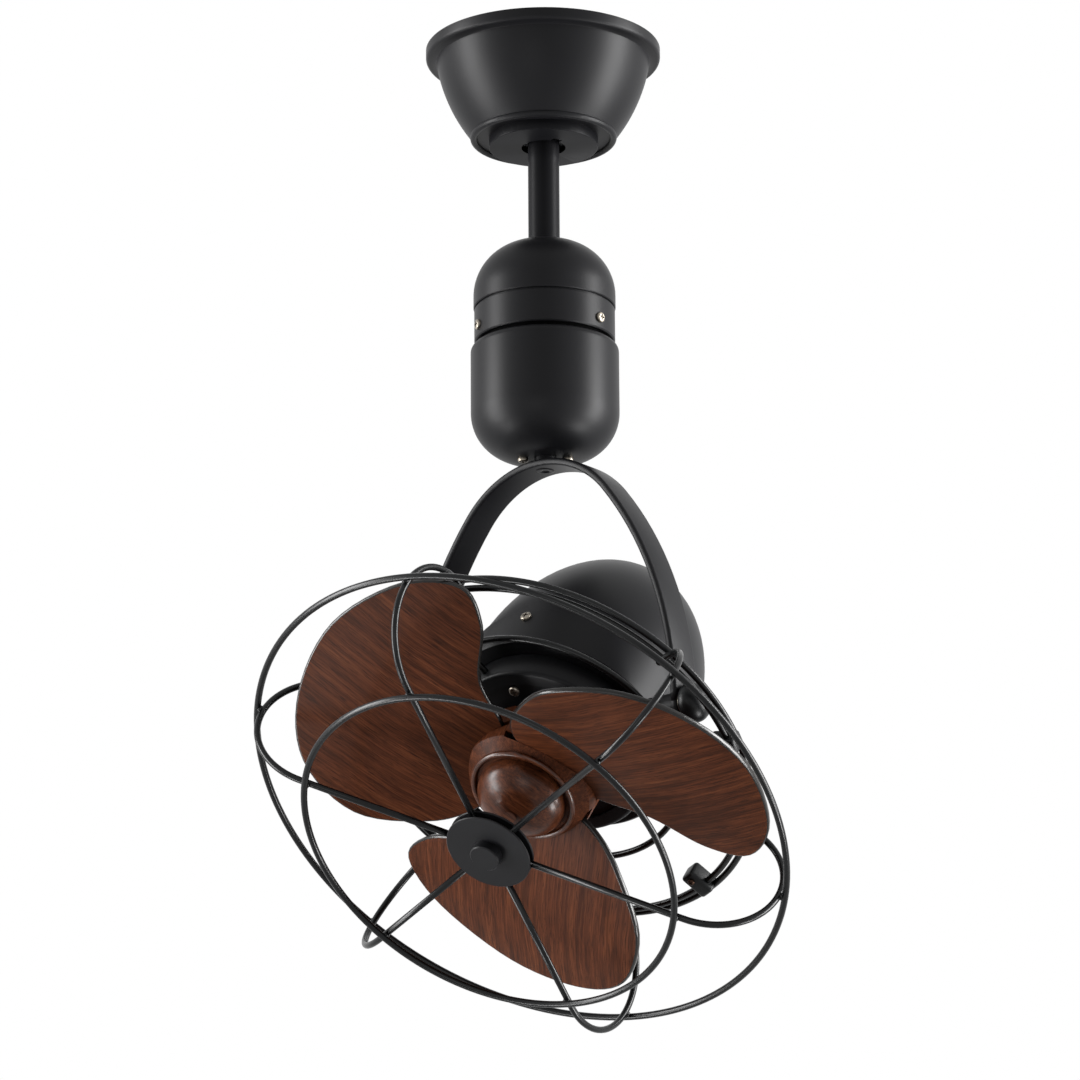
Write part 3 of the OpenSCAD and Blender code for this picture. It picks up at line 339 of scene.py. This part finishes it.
def walnutMaterial(name):
    source, turn, roughness, coat, shade = films[name]
    made, tree = newMaterial(name)
    place = addNode(tree, "ShaderNodeTexCoord")
    along = addNode(tree, "ShaderNodeMapping", {"vector_type": "POINT"}, {"Rotation": turn},
                    {"Vector": place.outputs[source]}).outputs["Vector"]
    sway = noise(tree, along, walnut["swayMm"], 2)
    centred = addNode(tree, "ShaderNodeVectorMath", {"operation": "SUBTRACT"},
                      {1: (walnut["noiseMiddle"],) * 3}, {0: sway.outputs["Color"]})
    wander = walnut["wanderMm"] * mm
    shifted = addNode(tree, "ShaderNodeVectorMath", {"operation": "MULTIPLY_ADD"},
                      {1: (0, wander, wander)}, {0: centred.outputs["Vector"], 2: along}).outputs["Vector"]
    pores, fibres, bands = (drawnOut(tree, shifted, walnut[layer]) for layer in ("pores", "fibres", "bands"))

    ground = addNode(tree, "ShaderNodeValToRGB", links={"Fac": bands})
    tones = [linearColour(walnut[tone], shade) for tone in ("dark", "ground", "warm")]
    rampColours(ground, list(zip(walnut["groundStops"], tones)))
    streak = addNode(tree, "ShaderNodeValToRGB", links={"Fac": fibres})
    rampColours(streak, list(zip(walnut["fibreStops"], (walnut["fibreDark"], walnut["fibreLight"]))))
    streaked = addNode(tree, "ShaderNodeMix", {"data_type": "RGBA", "blend_type": "MULTIPLY"},
                       {"Factor": 1.0}, {6: ground.outputs["Color"], 7: streak.outputs["Color"]})
    poreMask = addNode(tree, "ShaderNodeValToRGB", links={"Fac": pores})
    rampColours(poreMask, list(zip(walnut["poreStops"], ((1, 1, 1, 1), (0, 0, 0, 1)))))
    wood = addNode(tree, "ShaderNodeMix", {"data_type": "RGBA"}, {7: linearColour(walnut["pore"])},
                   {"Factor": poreMask.outputs["Color"], 6: streaked.outputs[2]})
    film = addNode(tree, "ShaderNodeBsdfPrincipled",
                   values={"IOR": walnut["ior"], "Specular IOR Level": walnut["specular"],
                           "Coat Weight": coat, "Coat Roughness": walnut["coatRoughness"]},
                   links={"Base Color": wood.outputs[2],
                          "Roughness": spread(tree, fibres, roughness - walnut["smoother"],
                                              roughness + walnut["rougher"]),
                          "Normal": relief(tree, pores, walnut["poreStrength"], walnut["poreDepthMm"])})
    finishMaterial(tree, film)
    return made


hubWalnut, lipWalnut, noseWalnut, bladeWalnut = (walnutMaterial(name) for name in films)
dress(["hub_body"], hubWalnut)
dress(["hub_nose"], noseWalnut)
print("walnut finishes made")


def addPiece(name, mesh, materials, body, stands):
    # A finished bmesh as a piece that rides on a body and stands for some nodes
    bmesh.ops.recalc_face_normals(mesh, faces=mesh.faces)
    for face in mesh.faces:
        face.smooth = True
    data = bpy.data.meshes.new(name)
    mesh.to_mesh(data)
    mesh.free()
    for material in materials:
        data.materials.append(material)
    made = bpy.data.objects.new(name, data)
    bpy.context.scene.collection.objects.link(made)
    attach(made, body)
    if stands:
        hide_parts(*stands)
    return made


def bevelParts(mesh, parts, width, segments, affect="EDGES"):
    bmesh.ops.bevel(mesh, geom=parts, offset=width * mm, segments=segments, affect=affect, profile=0.5,
                    material=-1)


def onlyVerts(parts):
    return [part for part in parts if isinstance(part, bmesh.types.BMVert)]


def onlyEdges(parts):
    return [part for part in parts if isinstance(part, bmesh.types.BMEdge)]


def spinProfile(mesh, points, centre, axis, steps, closed=False):
    # A line of points taken through a full turn; ends on the axis close to poles
    line = [mesh.verts.new(point) for point in points]
    following = line[1:] + (line[:1] if closed else [])
    edges = [mesh.edges.new(pair) for pair in zip(line, following)]
    bmesh.ops.spin(mesh, geom=line + edges, cent=centre, axis=axis, angle=fullTurn, steps=steps,
                   use_merge=True, use_duplicate=False)
    bmesh.ops.remove_doubles(mesh, verts=mesh.verts, dist=same)


# Curved covers and guard arms: faces that meet at less than the hard angle shade as one surface
smoothing = {"mergeMm": 0.004, "hardAngle": 34, "wireHardAngle": 70,
             "covers": ["canopy", "canopy_cover", "downrod", "upper_cap", "mid_band", "lower_shell",
                        "yoke_neck", "tilt_bosses", "front_housing", "front_plate", "housing_band",
                        "rear_cover", "disc_back", "disc_front", "disc_bolt", "hub_body", "hub_nose"],
             "wires": ["guard_arms"]}
# The hub's raised lip is polished brighter than its side: faces in front of lipFrom and outside lipRadius,
# in mm
hubLip = {"lipFrom": 51, "lipRadius": 33.2}


def shadeByAngle(mesh, hardAngle):
    for edge in mesh.edges:
        edge.smooth = edge.calc_face_angle(math.pi) < math.radians(hardAngle)


def smoothCopy(name, hardAngle):
    # A merged copy of a solid's mesh, smooth but for its hard edges
    mesh = bmesh.new()
    mesh.from_mesh(nodes[name].data)
    merge = smoothing["mergeMm"] * mm
    bmesh.ops.remove_doubles(mesh, verts=mesh.verts, dist=merge)
    bmesh.ops.dissolve_degenerate(mesh, edges=mesh.edges, dist=merge)
    shadeByAngle(mesh, hardAngle)
    if name == "hub_body":
        nodes[name].data.materials.append(lipWalnut)
        for face in mesh.faces:
            place = fanTurn.inverted() @ face.calc_center_median()
            outside = math.hypot(place.x, place.y) > hubLip["lipRadius"] * mm
            face.material_index = 1 if outside and place.z > hubLip["lipFrom"] * mm else 0
    made = addPiece(f"{name}_smooth", mesh, list(nodes[name].data.materials), nodes[name]["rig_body"],
                    [name])
    # the solid's own normals would bring its facets back
    kept = made.data.attributes.get("custom_normal")
    if kept:
        made.data.attributes.remove(kept)


for name in smoothing["covers"]:
    smoothCopy(name, smoothing["hardAngle"])
for name in smoothing["wires"]:
    smoothCopy(name, smoothing["wireHardAngle"])
print("curved solids smoothed")

# Blades: a smooth outline cut from bent board, lengths in mm. x runs out along the blade, y to its leading
# side. Strips across the grain, and wider ones along it, let the board bend smoothly.
blade = {
    "corners": [(36, -27), (68, -50), (89, -86), (116, -102), (148, -76), (168, -18), (158, 40),
                (128, 80), (80, 91), (37, 68), (18, 45), (15, 27), (24, 0)],
    "steps": 6, "thickness": 4, "rimBevel": 1.3, "rimSegments": 3, "rimInset": 0.6, "strips": (5, 10),
    "crown": 115, "bendRadius": 327, "crownHeight": 52, "pitch": 15, "firstAngle": 118.5, "count": 3,
    "grainShift": (0.31, 0.17),
}


def smoothOutline(corners, steps):
    # A closed smooth curve through the corners
    points = []
    for i in range(len(corners)):
        a, b, c, d = (Vector(corners[(i + j) % len(corners)]) for j in (-1, 0, 1, 2))
        for t in [k / steps for k in range(steps)]:
            points.append(0.5 * (2 * b + (c - a) * t + (2 * a - 5 * b + 4 * c - d) * t * t
                                 + (3 * b - a - 3 * c + d) * t ** 3))
    return points


def cutStrips(mesh, axis, widthMm):
    low, high = min(v.co[axis] for v in mesh.verts), max(v.co[axis] for v in mesh.verts)
    cuts = int((high - low) / (widthMm * mm))
    for i in range(1, cuts):
        place, normal = Vector(), Vector()
        place[axis] = low + (high - low) * i / cuts
        normal[axis] = 1
        bmesh.ops.bisect_plane(mesh, geom=mesh.verts[:] + mesh.edges[:] + mesh.faces[:], dist=same,
                               plane_co=place, plane_no=normal)


def makeBlade(k):
    mesh = bmesh.new()
    outline = smoothOutline(blade["corners"], blade["steps"])
    front = mesh.faces.new([mesh.verts.new((p.x * mm, p.y * mm, 0)) for p in outline])
    grown = bmesh.ops.extrude_face_region(mesh, geom=[front])["geom"]
    bmesh.ops.translate(mesh, verts=onlyVerts(grown), vec=(0, 0, -blade["thickness"] * mm))
    bmesh.ops.recalc_face_normals(mesh, faces=mesh.faces)
    level = [e for e in mesh.edges if abs(e.verts[0].co.z - e.verts[1].co.z) < same]
    bevelParts(mesh, level, blade["rimBevel"], blade["rimSegments"])
    # only the two broad faces have more corners than this
    broad = [f for f in mesh.faces if len(f.verts) > 8]
    for face in mesh.faces:
        face.material_index = 0 if face in broad else 1
    bmesh.ops.inset_individual(mesh, faces=broad, thickness=blade["rimInset"] * mm)
    for axis, widthMm in enumerate(blade["strips"]):
        cutStrips(mesh, axis, widthMm)
    # each blade takes its own part of the grain
    grainMap = mesh.loops.layers.uv.new("grain")
    shiftX, shiftY = (shift * k for shift in blade["grainShift"])
    for face in mesh.faces:
        for corner in face.loops:
            corner[grainMap].uv = (corner.vert.co.x + shiftX, corner.vert.co.y + shiftY)
    bend, crown = blade["bendRadius"] * mm, blade["crown"] * mm
    for v in mesh.verts:
        v.co.z = math.sqrt((bend + v.co.z) ** 2 - (v.co.x - crown) ** 2) - bend
    turn = Matrix.Rotation(math.radians(blade["firstAngle"] + 360 * k / blade["count"]), 4, "Z")
    pitch = Matrix.Rotation(math.radians(blade["pitch"]), 4, "X")
    place = fanTurn @ Matrix.Translation((0, 0, blade["crownHeight"] * mm)) @ turn @ pitch
    bmesh.ops.transform(mesh, matrix=place, verts=mesh.verts)
    addPiece(f"walnutBlade{k + 1}", mesh, [bladeWalnut, bladeRim], "rotor", [f"blade_{k + 1}"])


for k in range(blade["count"]):
    makeBlade(k)
print("blades made")

# Yoke: flat bar with rounded edges, bent round three arcs, with half-round leg ends, lengths in mm
yoke = {"halfSpan": 114.5, "height": 186, "topRadius": 75, "width": 24, "thickness": 5, "edgeRadius": 1.9,
        "edgeSegments": 4, "legSteps": 18, "topSteps": 44, "endSegments": 64}


def makeYoke():
    mesh = bmesh.new()
    span, height, top = yoke["halfSpan"] * mm, yoke["height"] * mm, yoke["topRadius"] * mm
    thick, wide = yoke["thickness"] * mm, yoke["width"] * mm
    side = (span ** 2 + height ** 2 - 2 * height * top) / (2 * (span - top))
    join = math.atan2(height - top, side - span)
    pivot = headFrame["pivotZ"]
    section = bmesh.ops.create_grid(mesh, x_segments=1, y_segments=1, size=0.5)["verts"]
    bmesh.ops.scale(mesh, verts=section, vec=(thick, wide, 1))
    bevelParts(mesh, section, yoke["edgeRadius"], yoke["edgeSegments"], "VERTICES")
    bmesh.ops.translate(mesh, verts=mesh.verts, vec=(span, 0, pivot))
    last = mesh.verts[:] + mesh.edges[:] + mesh.faces[:]
    arcs = [((span - side, 0, pivot), join, yoke["legSteps"]),
            ((0, 0, pivot + height - top), math.pi - 2 * join, yoke["topSteps"]),
            ((side - span, 0, pivot), join, yoke["legSteps"])]
    for centre, angle, steps in arcs:
        last = bmesh.ops.spin(mesh, geom=last, cent=centre, axis=(0, -1, 0), angle=angle, steps=steps,
                              use_duplicate=False)["geom_last"]
    for x in (-span, span):
        place = Matrix.Translation((x, 0, pivot)) @ Matrix.Rotation(math.pi / 2, 4, "Y")
        disc = bmesh.ops.create_cone(mesh, cap_ends=True, segments=yoke["endSegments"], radius1=wide / 2,
                                     radius2=wide / 2, depth=thick, matrix=place)["verts"]
        rims = [e for e in mesh.edges
                if e.verts[0] in disc and abs(e.verts[0].co.x - e.verts[1].co.x) < same]
        bevelParts(mesh, rims, yoke["edgeRadius"], yoke["edgeSegments"])
    addPiece("bentBarYoke", mesh, [satinBlack], "yoke_assembly", ["yoke"])


# Yoke bolt: a countersunk head with a low crown and a socket. Its profile's points are (radius, height over
# the solid bolt's lowest point), in mm.
bolt = {"profile": [(0, 2), (2.6, 2), (2.6, -0.7), (4.9, -0.56), (7, 0), (7, 1), (0, 2.6)], "steps": 48}


def makeYokeBolt():
    mesh = bmesh.new()
    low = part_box("yoke_bolt")[0].z
    spinProfile(mesh, [(r * mm, 0, low + z * mm) for r, z in bolt["profile"]], (0, 0, 0), (0, 0, 1),
                bolt["steps"])
    addPiece("yokeBoltHead", mesh, [satinBlack], "yoke_assembly", ["yoke_bolt"])


makeYoke()
makeYokeBolt()
print("yoke made")

# Hand knobs: a domed cap on its stud, lengths in mm along the tilt axis. The rim's points are
# (distance from the cap's back, radius).
knob = {"length": 14, "radius": 13.4, "back": 11.6, "rim": [(0.4, 12.4), (1.6, 13.2)], "dome": 9.6,
        "stud": 4, "arcSteps": 10, "steps": 64}


def makeKnob(name, side, body):
    mesh = bmesh.new()
    reach = [abs(corner.x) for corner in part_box(name)]
    inner, outer = min(reach), max(reach)
    back, stud = outer - knob["length"] * mm, knob["stud"] * mm
    radius, dome = knob["radius"] * mm, knob["dome"] * mm
    profile = [(inner, 0), (inner, stud), (back, stud), (back, knob["back"] * mm)]
    profile += [(back + x * mm, r * mm) for x, r in knob["rim"]]
    for i in range(knob["arcSteps"] + 1):
        turn = math.pi / 2 * i / knob["arcSteps"]
        profile.append((outer - dome + dome * math.sin(turn), radius * math.cos(turn)))
    pivot = headFrame["pivotZ"]
    spinProfile(mesh, [(side * x, 0, pivot + r) for x, r in profile], (0, 0, pivot), (1, 0, 0),
                knob["steps"])
    shadeByAngle(mesh, smoothing["hardAngle"])
    addPiece(f"{name}_domed", mesh, [nylonBlack], body, [name])


makeKnob("knob_left", -1, "left_clamp")
makeKnob("knob_right", 1, "right_clamp")
print("knobs made")

# Moulded clips that hold the cage's rear ring to the guard, with well rounded edges, lengths in mm
clip = {"angles": [112, 166, 235, 291, 350], "size": (20, 12, 13), "edge": 2.4, "edgeSegments": 4,
        "radius": 134, "middle": 6.4}


def makeClips():
    mesh = bmesh.new()
    for angle in clip["angles"]:
        block = bmesh.ops.create_cube(mesh, size=mm)["verts"]
        bmesh.ops.scale(mesh, verts=block, vec=clip["size"])
        turn = Matrix.Rotation(math.radians(angle), 4, "Z")
        place = fanTurn @ turn @ Matrix.Translation((clip["radius"] * mm, 0, clip["middle"] * mm))
        bmesh.ops.transform(mesh, matrix=place, verts=block)
    bevelParts(mesh, mesh.edges[:], clip["edge"], clip["edgeSegments"])
    addPiece("roundedCageClips", mesh, [nylonBlack], "head", ["cage_clips"])


makeClips()
print("clips made")

# Drawn wire of the cage and guard, in mm: each ring has its radius and its distance along the fan axis.
# A spoke runs out straight from the centre disc, then bends back through half a turn. Welds, as
# (radius, distance), sit where the spokes cross the cage's rings.
wire = {"radius": 2.25, "segments": 14, "ringSteps": 200, "bendSteps": 40,
        "rings": {"cage_outer_ring": (188, 59.6), "cage_front_ring": (130.5, 111.7),
                  "cage_rear_ring": (137.5, 7.8), "guard_outer_ring": (143, 5),
                  "guard_inner_ring": (93.3, 5)},
        "spokes": 6, "firstAngle": 22, "spokeStart": 26, "spokeRun": 135.9, "bendMiddle": 59.6,
        "bendRadius": 47.6,
        "welds": [(130.5, 109.4), (185.8, 59.6), (136.7, 9.9)], "weldRadius": 2.6, "weldDetail": 3}


def spokeTurn(k):
    return Matrix.Rotation(math.radians(wire["firstAngle"] + 360 * k / wire["spokes"]), 4, "Z")


def wireSection(mesh, place, turn):
    # A circle of the wire's own radius, its plane turned about one axis
    matrix = Matrix.Translation(place) @ Matrix.Rotation(math.pi / 2, 4, turn)
    return bmesh.ops.create_circle(mesh, segments=wire["segments"], radius=wire["radius"] * mm,
                                   matrix=matrix)["verts"]


def makeRing(name, ringRadius, distance):
    mesh = bmesh.new()
    wireSection(mesh, (ringRadius * mm, 0, distance * mm), "X")
    bmesh.ops.spin(mesh, geom=mesh.verts[:] + mesh.edges[:], cent=(0, 0, 0), axis=(0, 0, 1), angle=fullTurn,
                   steps=wire["ringSteps"], use_merge=True, use_duplicate=False)
    bmesh.ops.transform(mesh, matrix=fanTurn, verts=mesh.verts)
    addPiece(f"{name}_wire", mesh, [wireBlack], "head", [name])


def makeSpokes():
    mesh = bmesh.new()
    start, run, middle = wire["spokeStart"] * mm, wire["spokeRun"] * mm, wire["bendMiddle"] * mm
    for k in range(wire["spokes"]):
        known = set(mesh.verts)
        end = wireSection(mesh, (start, 0, middle + wire["bendRadius"] * mm), "Y")
        rim = list({edge for vert in end for edge in vert.link_edges})
        grown = bmesh.ops.extrude_edge_only(mesh, edges=rim)["geom"]
        moved = onlyVerts(grown)
        bmesh.ops.translate(mesh, verts=moved, vec=(run - start, 0, 0))
        edges = [edge for edge in onlyEdges(grown) if edge.verts[0] in moved and edge.verts[1] in moved]
        last = bmesh.ops.spin(mesh, geom=moved + edges, cent=(run, 0, middle), axis=(0, 1, 0),
                              angle=math.pi, steps=wire["bendSteps"], use_duplicate=False)["geom_last"]
        bmesh.ops.edgeloop_fill(mesh, edges=rim)
        bmesh.ops.edgeloop_fill(mesh, edges=onlyEdges(last))
        added = [vert for vert in mesh.verts if vert not in known]
        bmesh.ops.transform(mesh, matrix=fanTurn @ spokeTurn(k), verts=added)
    addPiece("cage_spokes_wire", mesh, [wireBlack], "head", ["cage_spokes"])


def makeWelds():
    mesh = bmesh.new()
    for radius, distance in wire["welds"]:
        for k in range(wire["spokes"]):
            place = fanTurn @ spokeTurn(k) @ Matrix.Translation((radius * mm, 0, distance * mm))
            bmesh.ops.create_icosphere(mesh, subdivisions=wire["weldDetail"],
                                       radius=wire["weldRadius"] * mm, matrix=place)
    addPiece("cageWelds", mesh, [wireBlack], "head", [])


for name, (ringRadius, distance) in wire["rings"].items():
    makeRing(name, ringRadius, distance)
makeSpokes()
makeWelds()
print("cage and guard wires made")

# A dull near-black ring of painted shade that fills the gap between the fixed band and the turning shell,
# lengths in mm: it rises inside the band and drops into the shell
gapShadeRing = {"outer": 43.2, "inner": 42.2, "rise": 8, "drop": 3.5, "steps": 96}


def makeGapShadeRing():
    mesh = bmesh.new()
    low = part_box("lower_shell")[1].z - gapShadeRing["drop"] * mm
    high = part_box("mid_band")[0].z + gapShadeRing["rise"] * mm
    outer, inner = gapShadeRing["outer"] * mm, gapShadeRing["inner"] * mm
    spinProfile(mesh, [(outer, 0, low), (outer, 0, high), (inner, 0, high), (inner, 0, low)], (0, 0, 0),
                (0, 0, 1), gapShadeRing["steps"], closed=True)
    shadeByAngle(mesh, smoothing["hardAngle"])
    # the ring is painted shade set into the gap, not a part of the fan
    addPiece("paintedShadeGapRing", mesh, [gapShadeBlack], "column", [])


makeGapShadeRing()
print("seal made")

# Studio, lengths in m. The two side lamps and the low box under each have their power in watts per square
# metre; a fill has its angle from the camera's side, distance, height, width, length and watts.
studio = {"floorZ": -6.0, "floorSize": 60, "floorGlow": 0.85, "floorColour": "#e9e9e7", "ambient": 0.27,
          "middle": (0, -0.05, -0.35), "sidePower": {"left": 68, "right": 92}, "sideAngle": 85,
          "sideSize": (0.7, 2.2), "sideDistance": 2.2, "sideHeight": -0.35,
          "lowGain": 1.2, "lowSize": (0.5, 0.5), "lowDistance": 1.5, "lowHeight": -1.85,
          "fills": {"frontFill": (-14, 3.4, -1.2, 1.4, 1.4, 10), "topFill": (170, 1.8, 1.2, 1.6, 1.2, 2)}}


def seenDirectly(tree):
    # 1 for a ray from the camera, from a mirror or through glass, else 0
    path = addNode(tree, "ShaderNodeLightPath")
    seen = path.outputs["Is Camera Ray"]
    for kind in ("Is Glossy Ray", "Is Transmission Ray"):
        seen = addNode(tree, "ShaderNodeMath", {"operation": "MAXIMUM"},
                       links={0: seen, 1: path.outputs[kind]}).outputs[0]
    return seen


def world():
    made = bpy.data.worlds.new("paleStudio")
    bpy.context.scene.world = made
    made.use_nodes = True
    tree = made.node_tree
    tree.nodes.clear()
    back = addNode(tree, "ShaderNodeBackground", values={"Color": (1, 1, 1, 1)},
                   links={"Strength": spread(tree, seenDirectly(tree), studio["ambient"], 1.0)})
    addNode(tree, "ShaderNodeOutputWorld", links={"Surface": back.outputs[0]})


def floor():
    # A pale floor far below, which takes the fan's faint shadow and looks nearly white to the camera
    mesh = bmesh.new()
    bmesh.ops.create_grid(mesh, x_segments=1, y_segments=1, size=studio["floorSize"] / 2,
                          matrix=Matrix.Translation((0, 0, studio["floorZ"])))
    data = bpy.data.meshes.new("studioFloor")
    mesh.to_mesh(data)
    mesh.free()
    made = bpy.data.objects.new("studioFloor", data)
    bpy.context.scene.collection.objects.link(made)
    paint, tree = newMaterial("paleStudioFloor")
    glow = addNode(tree, "ShaderNodeEmission", links={"Strength": seenDirectly(tree)})
    chalk = addNode(tree, "ShaderNodeBsdfDiffuse", values={"Color": linearColour(studio["floorColour"])})
    both = addNode(tree, "ShaderNodeMixShader", values={0: studio["floorGlow"]},
                   links={1: chalk.outputs[0], 2: glow.outputs[0]})
    finishMaterial(tree, both)
    data.materials.append(paint)


def areaLamp(name, angle, distance, height, size, watts):
    # A lamp that faces the fan, from an angle round the column that starts at the camera's side
    data = bpy.data.lights.new(name, "AREA")
    data.shape = "RECTANGLE"
    data.size, data.size_y = size
    data.energy = watts
    made = bpy.data.objects.new(name, data)
    made.location = roundColumn(camera["azimuth"] + angle, distance, height)
    made.rotation_mode = "QUATERNION"
    made.rotation_quaternion = (Vector(studio["middle"]) - made.location).to_track_quat("-Z", "Y")
    bpy.context.scene.collection.objects.link(made)


def lights():
    for name, side in (("left", -1), ("right", 1)):
        angle, power = side * studio["sideAngle"], studio["sidePower"][name]
        (wide, tall), (lowWide, lowTall) = studio["sideSize"], studio["lowSize"]
        areaLamp(name + "Softbox", angle, studio["sideDistance"], studio["sideHeight"], studio["sideSize"],
                 power * wide * tall)
        areaLamp(name + "LowBox", angle, studio["lowDistance"], studio["lowHeight"], studio["lowSize"],
                 power * studio["lowGain"] * lowWide * lowTall)
    for name, (angle, distance, height, wide, tall, watts) in studio["fills"].items():
        areaLamp(name, angle, distance, height, (wide, tall), watts)


world()
floor()
lights()
bpy.context.scene.view_settings.view_transform = "Standard"
print("light, floor and world made")
